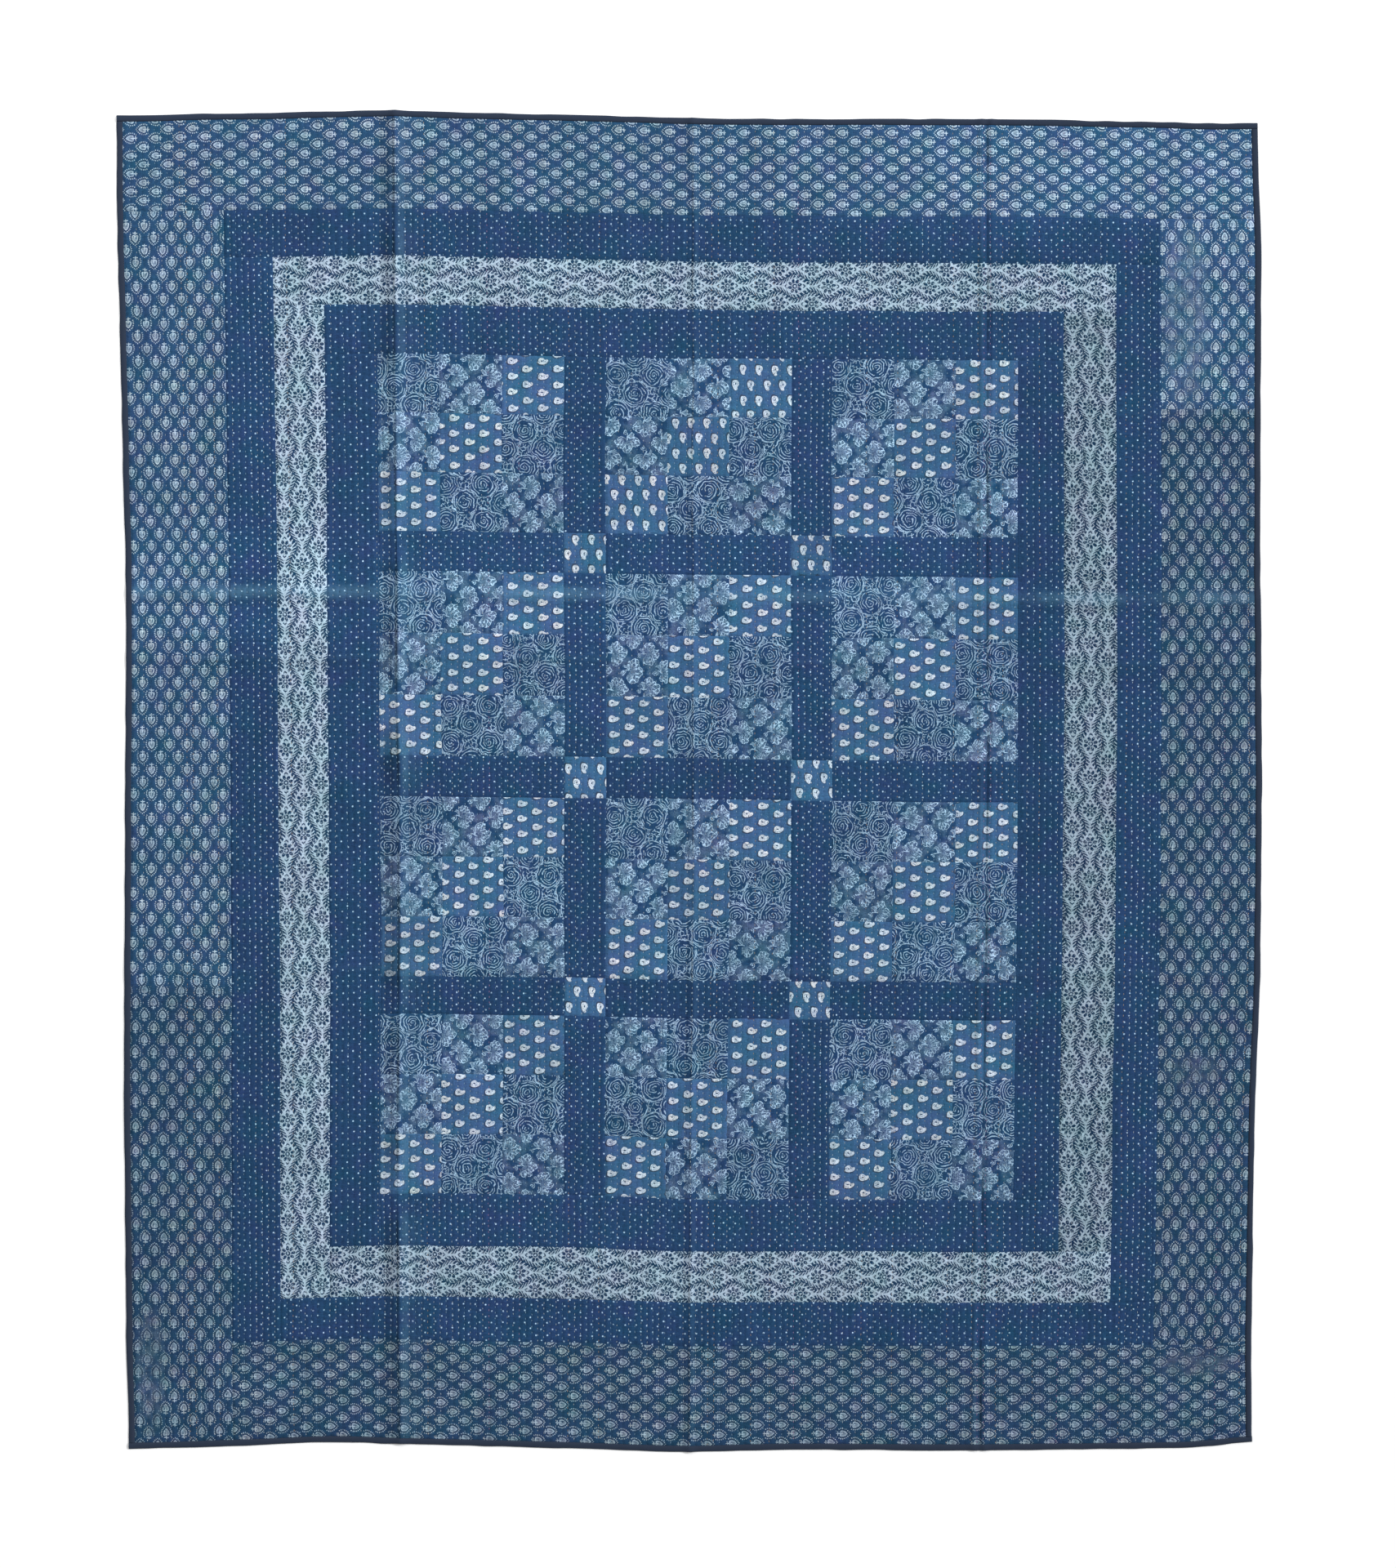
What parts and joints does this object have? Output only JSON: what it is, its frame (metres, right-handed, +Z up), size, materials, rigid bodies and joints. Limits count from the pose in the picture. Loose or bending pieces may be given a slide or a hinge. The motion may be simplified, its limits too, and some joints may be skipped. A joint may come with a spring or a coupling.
{
  "type": "patchwork bedspread",
  "caption": "Flat quilted cotton bedspread: nine-patch blocks with sashes and cornerstones, rounds of printed border, and a dark binding.",
  "frame": {"origin": "centre of the bedspread's box, on the surface that it lies on", "axes": "+Z up from the surface, +Y along the length towards the head edge, +X across the width"},
  "size_m": [2.3206, 2.7182, 0.0119],
  "materials": {
    "binding_navy": "plain dark navy cotton, matte",
    "sprig_print": "indigo cotton with a pale leaf sprig block print, matte, quilted",
    "dotted_indigo": "dark indigo cotton with small white dots, matte, quilted",
    "vine_print": "pale blue cotton with dark vines and rosettes, matte, quilted",
    "patchwork_prints": "squares of rose, cluster and paisley block prints on indigo cotton, matte, quilted",
    "paisley_print": "blue cotton with cream paisleys, matte, quilted"
  },
  "bodies": {
    "root": {"binding_top": "binding_navy", "binding_right": "binding_navy", "binding_bottom": "binding_navy", "binding_left": "binding_navy", "outer_border_top": "sprig_print", "outer_border_right_upper": "sprig_print", "outer_border_right_lower": "sprig_print", "outer_border_bottom": "sprig_print", "outer_border_left_upper": "sprig_print", "outer_border_left_lower": "sprig_print", "dotted_border_top": "dotted_indigo", "dotted_border_right": "dotted_indigo", "dotted_border_bottom": "dotted_indigo", "dotted_border_left_upper": "dotted_indigo", "dotted_border_left_lower": "dotted_indigo", "vine_border_top": "vine_print", "vine_border_right": "vine_print", "vine_border_bottom": "vine_print", "vine_border_left": "vine_print", "inner_border_top": "dotted_indigo", "inner_border_right": "dotted_indigo", "inner_border_bottom": "dotted_indigo", "inner_border_left": "dotted_indigo", "block_r1_c1": "patchwork_prints", "sash_upright_r1_c1": "dotted_indigo", "sash_level_r1_c1": "dotted_indigo", "cornerstone_r1_c1": "paisley_print", "block_r1_c2": "patchwork_prints", "sash_upright_r1_c2": "dotted_indigo", "sash_level_r1_c2": "dotted_indigo", "cornerstone_r1_c2": "paisley_print", "block_r1_c3": "patchwork_prints", "sash_level_r1_c3": "dotted_indigo", "block_r2_c1": "patchwork_prints", "sash_upright_r2_c1": "dotted_indigo", "sash_level_r2_c1": "dotted_indigo", "cornerstone_r2_c1": "paisley_print", "block_r2_c2": "patchwork_prints", "sash_upright_r2_c2": "dotted_indigo", "sash_level_r2_c2": "dotted_indigo", "cornerstone_r2_c2": "paisley_print", "block_r2_c3": "patchwork_prints", "sash_level_r2_c3": "dotted_indigo", "block_r3_c1": "patchwork_prints", "sash_upright_r3_c1": "dotted_indigo", "sash_level_r3_c1": "dotted_indigo", "cornerstone_r3_c1": "paisley_print", "block_r3_c2": "patchwork_prints", "sash_upright_r3_c2": "dotted_indigo", "sash_level_r3_c2": "dotted_indigo", "cornerstone_r3_c2": "paisley_print", "block_r3_c3": "patchwork_prints", "sash_level_r3_c3": "dotted_indigo", "block_r4_c1": "patchwork_prints", "sash_upright_r4_c1": "dotted_indigo", "block_r4_c2": "patchwork_prints", "sash_upright_r4_c2": "dotted_indigo", "block_r4_c3": "patchwork_prints"}
  },
  "joints": []
}
